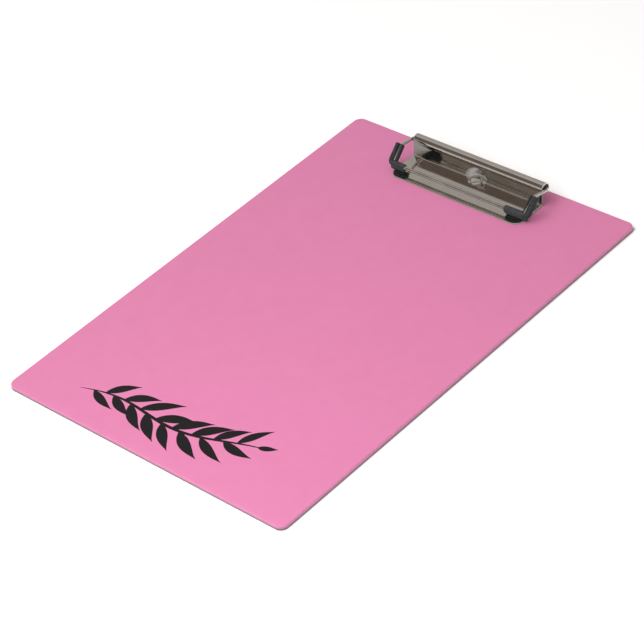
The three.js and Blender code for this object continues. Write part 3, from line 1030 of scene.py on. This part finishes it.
def ribbed(point, normal, slot_share, wire_offset, outward):
    """A section point with the lengthwise grooves and the wire's slot pressed in.

    The rear arm's inner side, past the slot, is lower than its outer side.
    """
    depth = 0.0
    if abs(normal.x) > 0.8:
        depth = FLANK_GROOVE_DEPTH * sum(groove(point.y - level) for level in FLANK_GROOVES)
    moved = point - normal * depth
    inner_share = smoothstep(0.0, 0.8, normal.y) * smoothstep(-0.4, 0.4, -point.x * outward)
    moved.y -= INNER_SIDE_DROP * slot_share * inner_share
    if normal.y > 0.5:
        moved.y -= TOP_GROOVE_DEPTH * groove(point.x - (wire_offset * slot_share + outward * TOP_GROOVE))
        from_wire = abs(point.x - wire_offset)
        inside = 1 - smoothstep(SLOT_WIDTH / 2 - 0.15, SLOT_WIDTH / 2 + 0.08, from_wire)
        moved.y -= SLOT_DEPTH * slot_share * inside
    return moved


def sleeve_lip(side):
    """The lip under the front arm, from the arm down to just above the foot."""
    half, bottom, top = SLEEVE_LIP_WIDTH / 2, SLEEVE_LIP_BOTTOM, SLEEVE_FRONT_Z
    outline = fillet([(-half, bottom, 0.5), (half, bottom, 0.5), (half, top, 0.3), (-half, top, 0.3)])
    inner = SLEEVE_INNER_END[side] + SLEEVE_LIP_INSET
    outer = SLEEVE_OUTER_X - SLEEVE_SIDE_SIZE[0] / 2 + SLEEVE_LIP_INSET
    middle = Vector((0.0, (bottom + top) / 2))
    rings = []
    ends = ((inner, 0.75), (inner + 0.25, 1.0), (outer - 0.25, 1.0), (outer, 0.75))
    for x, share in ends:
        ring = [middle + (p - middle) * share for p in outline]
        rings.append([Vector((side * x, SLEEVE_FRONT_Y + p.x, p.y)) for p in ring])
    return join_rings(rings)


def make_sleeve(side):
    """A sleeve bent round the bail's front corner: a round front arm and a squarer, slotted rear arm."""
    up_slope = Vector((0.0, -math.sin(SLOPE), math.cos(SLOPE)))
    along_slope = Vector((0.0, math.cos(SLOPE), math.sin(SLOPE)))
    centre_x = side * (SLEEVE_OUTER_X - SLEEVE_SIDE_SIZE[0] / 2)
    lift = SLEEVE_COVER - SLEEVE_SIDE_SIZE[1] / 2
    slope_start = Vector((centre_x, FRONT_BAR_Y, FRONT_BAR_Z)) + up_slope * lift
    slope_end = slope_start + along_slope * SLEEVE_SIDE_LENGTH
    corner = Vector((centre_x, SLEEVE_FRONT_Y, SLEEVE_FRONT_Z + SLEEVE_CORNER_LIFT))
    inner_end = Vector((side * SLEEVE_INNER_END[side], SLEEVE_FRONT_Y, SLEEVE_FRONT_Z))
    corners = [(inner_end, 0), (corner, SLEEVE_CORNER), (slope_end, 0)]
    route = rounded_route(corners, SLEEVE_SPACING)
    total = [0.0]
    for a, b in zip(route, route[1:]):
        total.append(total[-1] + (b - a).length)
    front_section = section_outline(*SLEEVE_FRONT_SIZE, SLEEVE_FRONT_FILLET)
    side_section = section_outline(*SLEEVE_SIDE_SIZE, SLEEVE_SIDE_FILLET)
    rings = []
    for centre, axis, travelled in zip(route, tangents(route), total):
        turned_share = smoothstep(0.1, 0.9, abs(axis.y) / math.cos(SLOPE))
        up = Vector((0, 0, 1)).lerp(up_slope, turned_share)
        up = (up - axis * up.dot(axis)).normalized()
        across = up.cross(axis)
        slot_share = smoothstep(0.7, 1.0, turned_share)
        up_wire = smoothstep(FRONT_BAR_Y, CREST_Y, centre.y)
        wire_x = FRONT_CORNER_X + (CREST_X - FRONT_CORNER_X) * up_wire
        facing = 1 if across.x * side > 0 or abs(across.x) < 0.2 else -1
        wire_offset = facing * (wire_x - abs(centre.x))
        from_end = min(travelled, total[-1] - travelled)
        short = max(SLEEVE_END_ROUND - from_end, 0.0)
        shrink = SLEEVE_END_ROUND - math.sqrt(SLEEVE_END_ROUND ** 2 - short ** 2)
        ring = []
        for (a, normal_a), (b, normal_b) in zip(front_section, side_section):
            flat = a.lerp(b, turned_share)
            normal = normal_a.lerp(normal_b, turned_share).normalized()
            moved = ribbed(flat, normal, slot_share, wire_offset, facing) - normal * shrink
            ring.append(centre + across * moved.x + up * moved.y)
        rings.append(ring)
    shape = merge([join_rings(rings), sleeve_lip(side)])
    name = SIDE_NAMES[side]
    piece(f"{name}_sleeve", shape, "bail", RUBBER, [f"{name}_corner_sleeve"],
          origin=CLIP_ORIGIN, crease=45)


BUSH_OUTER_RADIUS = 2.55
BUSH_BORE_RADIUS = 1.25
BUSH_LENGTH = 3.6
BUSH_RECESS = 0.4
BUSH_SEGMENTS = 48
SPRING_WIRE_RADIUS = 0.35
SPRING_RADIUS = 1.85
SPRING_TURNS = 7
SPRING_START_X = 48.2
SPRING_END_GAP = 0.45
SPRING_TURN_STEPS = 28
SPRING_HOOK_STEPS = 14
SPRING_SEGMENTS = 10
SPRING_TIP = 0.12


def make_bush(side):
    outer = side * (PLATE_HALF_WIDTH - BUSH_RECESS)
    inner = outer - side * BUSH_LENGTH
    low, high = min(inner, outer), max(inner, outer)
    corners = [(BUSH_BORE_RADIUS, low, 0.1), (BUSH_OUTER_RADIUS, low, 0.3),
               (BUSH_OUTER_RADIUS, high, 0.3), (BUSH_BORE_RADIUS, high, 0.1)]
    shape = turned(fillet(corners), BUSH_SEGMENTS, (0, ROLL_Y, ROLL_Z), axis="X")
    name = SIDE_NAMES[side]
    piece(f"{name}_bush", shape, "board", NYLON, [f"{name}_barrel_bush"],
          origin=CLIP_ORIGIN, crease=50)


def make_spring(side):
    """A coil round the bail's leg, which ends in a hook across the leg's end."""
    tip_x = LEG_END_X - SPRING_END_GAP - SPRING_WIRE_RADIUS
    pitch = (SPRING_START_X - tip_x) / SPRING_TURNS

    def station(x, radius, angle):
        return Vector((side * x, ROLL_Y + radius * math.cos(angle), ROLL_Z + radius * math.sin(angle)))

    route = []
    for i in range(SPRING_TURNS * SPRING_TURN_STEPS + 1):
        turns = i / SPRING_TURN_STEPS
        route.append(station(SPRING_START_X - pitch * turns, SPRING_RADIUS, 2 * math.pi * turns))
    for i in range(1, SPRING_HOOK_STEPS + 1):
        share = i / SPRING_HOOK_STEPS
        route.append(station(tip_x, SPRING_RADIUS * math.cos(math.pi * share), math.pi / 2 * share))
    shape = wire(route, SPRING_WIRE_RADIUS, SPRING_SEGMENTS, SPRING_TIP)
    name = SIDE_NAMES[side]
    piece(f"{name}_spring", shape, "board", SPRING_WIRE, [f"{name}_torsion_spring"],
          origin=CLIP_ORIGIN)


make_board()
make_print()
make_sprig()
make_plate()
make_eyelet()
make_washer()
make_bail()
for hand in (-1, 1):
    make_sleeve(hand)
    make_bush(hand)
    make_spring(hand)


# ---- floor, light and camera

FLOOR_HALF = 14.0
FLOOR_DROP = 0.02
FLOOR_GLOW = 0.25

LIGHT_AIM = Vector((0.0, 0.05, 0.0))
LIGHTS = {
    "window": {"towards": (-0.35, -0.40, 0.85), "distance": 2.0, "size": 1.7, "watts": 20.0},
    "front_fill": {"towards": (0.25, -0.66, 0.70), "distance": 0.6, "size": 0.4, "watts": 1.15},
}

ROOM_PALE = (0.45, 0.43, 0.415)
ROOM_DARK = (0.135, 0.112, 0.098)
ROOM_SKY = (0.40, 0.375, 0.352)
HORIZON_LOW = 0.20
HORIZON_HIGH = 0.34
DARK_TOWARDS = (-0.62, -0.52, 0.58)
DARK_SPREAD = (20, 26)
SKY_TOWARDS = (-0.55, 0.62, 0.56)
SKY_SPREAD = (16, 26)

CAMERA_AZIMUTH = math.radians(49.851)
CAMERA_ELEVATION = math.radians(38.043)
CAMERA_ROLL = math.radians(-11.542)
CAMERA_DISTANCE = 1.607619
CAMERA_TARGET = Vector((0.007801, -0.010959, 0.0))
CAMERA_LENS = 150.14
SENSOR = 36.0


def make_floor():
    """A matt pale floor, which glows faintly everywhere but under the board."""
    finish = Finish("studio_floor", FLOOR_PALE, 0.9, specular=0.1)
    cloud = finish.noise(160.0, detail=2.0)
    finish.colour(finish.mix(finish.ramp(cloud, 0.3, 0.7), FLOOR_PALE, FLOOR_PALER))
    finish.shader.inputs["Emission Color"].default_value = (1, 1, 1, 1)
    across = finish.math("ABSOLUTE", finish.height("X"), 0.0)
    along = finish.math("ABSOLUTE", finish.height("Y"), 0.0)
    past_side = finish.math("GREATER_THAN", across, BOARD_WIDTH / 2 * MM)
    past_end = finish.math("GREATER_THAN", along, BOARD_LENGTH / 2 * MM)
    beyond = finish.math("MULTIPLY", finish.math("MAXIMUM", past_side, past_end), FLOOR_GLOW)
    finish.links.new(beyond, finish.shader.inputs["Emission Strength"])
    mesh = bpy.data.meshes.new("studio_floor")
    corners = ((-1, -1), (1, -1), (1, 1), (-1, 1))
    points = [(x * FLOOR_HALF, y * FLOOR_HALF, -FLOOR_DROP * MM) for x, y in corners]
    mesh.from_pydata(points, [], [(0, 1, 2, 3)])
    mesh.materials.append(finish.material)
    add_object("studio_floor", mesh)


def area_light(name, towards, distance, size, watts):
    """A square soft light that shines on the board from a direction, and isn't mirrored in the metal."""
    light = bpy.data.lights.new(name, "AREA")
    light.shape = "SQUARE"
    light.size = size
    light.energy = watts
    lamp = add_object(name, light)
    direction = Vector(towards).normalized()
    lamp.location = LIGHT_AIM + direction * distance
    lamp.rotation_mode = "QUATERNION"
    lamp.rotation_quaternion = direction.to_track_quat("Z", "Y")
    lamp.visible_glossy = False


def make_world():
    """A soft room: pale at the back, with one dark side that gives polished metal something to show."""
    world = bpy.data.worlds.new("studio")
    bpy.context.scene.world = world
    world.use_nodes = True
    nodes, links = world.node_tree.nodes, world.node_tree.links
    coords = nodes.new("ShaderNodeTexCoord")

    def rise(value, low, high):
        """A smooth rise from 0 at low to 1 at high."""
        span = nodes.new("ShaderNodeMapRange")
        span.interpolation_type = "SMOOTHSTEP"
        span.inputs["From Min"].default_value = low
        span.inputs["From Max"].default_value = high
        links.new(value, span.inputs["Value"])
        return span.outputs["Result"]

    def lobe(towards, inner, outer):
        """1 within inner degrees of a direction, falling to 0 at outer degrees."""
        dot = nodes.new("ShaderNodeVectorMath")
        dot.operation = "DOT_PRODUCT"
        dot.inputs[1].default_value = Vector(towards).normalized()
        links.new(coords.outputs["Generated"], dot.inputs[0])
        return rise(dot.outputs["Value"], math.cos(math.radians(outer)), math.cos(math.radians(inner)))

    split = nodes.new("ShaderNodeSeparateXYZ")
    links.new(coords.outputs["Generated"], split.inputs[0])
    dark = nodes.new("ShaderNodeMath")
    dark.operation = "MULTIPLY"
    links.new(lobe(DARK_TOWARDS, *DARK_SPREAD), dark.inputs[0])
    links.new(rise(split.outputs["Z"], HORIZON_LOW, HORIZON_HIGH), dark.inputs[1])
    room = colour_mix(world.node_tree, dark.outputs["Value"], ROOM_PALE, ROOM_DARK)
    colour = colour_mix(world.node_tree, lobe(SKY_TOWARDS, *SKY_SPREAD), room, ROOM_SKY)
    links.new(colour, nodes["Background"].inputs["Color"])


def make_camera():
    """The camera at the photograph's viewing angle, found from the board's four edges."""
    camera = bpy.data.cameras.new("camera")
    camera.sensor_width = SENSOR
    camera.lens = CAMERA_LENS
    camera.clip_start = 0.05
    camera.clip_end = 50.0
    eye = add_object("camera", camera)
    back = Vector((
        math.sin(CAMERA_AZIMUTH) * math.cos(CAMERA_ELEVATION),
        -math.cos(CAMERA_AZIMUTH) * math.cos(CAMERA_ELEVATION),
        math.sin(CAMERA_ELEVATION),
    ))
    level = Vector((0, 0, 1)).cross(back).normalized()
    upright = back.cross(level)
    c, s = math.cos(CAMERA_ROLL), math.sin(CAMERA_ROLL)
    right = level * c + upright * s
    up = upright * c - level * s
    basis = Matrix((right, up, back)).transposed().to_4x4()
    eye.matrix_world = Matrix.Translation(CAMERA_TARGET + back * CAMERA_DISTANCE) @ basis
    bpy.context.scene.camera = eye


make_floor()
make_world()
for light_name, values in LIGHTS.items():
    area_light(light_name, **values)
make_camera()

view = bpy.context.scene.view_settings
view.view_transform = "Standard"
view.look = "None"
